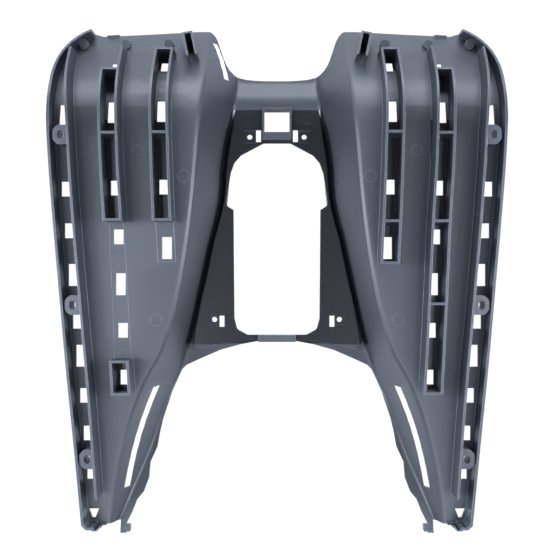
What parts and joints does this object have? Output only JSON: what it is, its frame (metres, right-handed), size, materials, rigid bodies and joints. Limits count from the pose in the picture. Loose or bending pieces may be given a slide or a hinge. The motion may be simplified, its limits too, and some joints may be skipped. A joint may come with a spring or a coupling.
{
  "type": "scooter floorboard",
  "caption": "Moulded plastic scooter footboard with two ribbed wings over a central tunnel, a lid opening, slotted eyelets and rows of trim hook slots.",
  "frame": {"origin": "bottom centre of the box round the part, which lies on its tread side", "axes": "+Z out of the ribbed underside, away from the tread side; +Y towards the front of the scooter; +X to the picture's right"},
  "size_m": [0.444, 0.518, 0.1165],
  "materials": {
    "body_plastic": "satin, faintly blue dark grey, fine moulded grain"
  },
  "bodies": {
    "root": {"floorboard": "body_plastic"}
  },
  "joints": []
}
